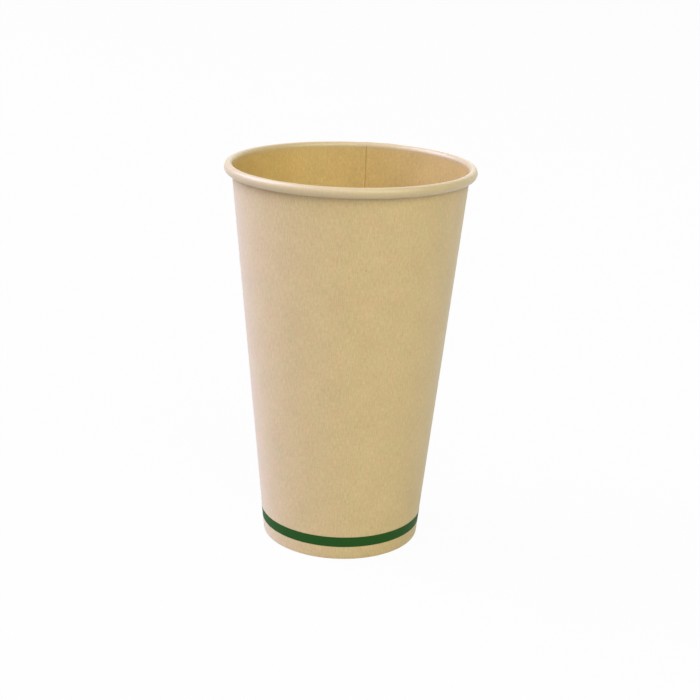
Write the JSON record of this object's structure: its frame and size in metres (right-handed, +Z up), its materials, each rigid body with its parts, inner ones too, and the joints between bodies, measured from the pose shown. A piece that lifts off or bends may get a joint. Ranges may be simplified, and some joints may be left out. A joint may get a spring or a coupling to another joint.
{
  "type": "paper cup",
  "caption": "Tall tapered single-wall paper cup in kraft board with a rolled rim, lapped side seam, recessed bottom and a printed stripe near the base.",
  "frame": {"origin": "centre of the hem ring that the cup stands on, at ground level", "axes": "+Z up along the cup's axis, from the base to the mouth; -Y towards the viewer of the picture, so the side seam is at the back, near +Y"},
  "size_m": [0.09, 0.09, 0.1413],
  "materials": {
    "kraft_board": "matte",
    "bottom_board": "matte",
    "clear_coating": "satin",
    "bond": "satin",
    "green_ink": "matte"
  },
  "bodies": {
    "root": {"sidewall": "kraft_board", "bottom": "bottom_board", "wall_coating": "clear_coating", "floor_coating": "clear_coating", "side_seam_bond": "bond", "skirt_bond": "bond", "hem_bond": "bond", "green_stripe": "green_ink"}
  },
  "joints": []
}
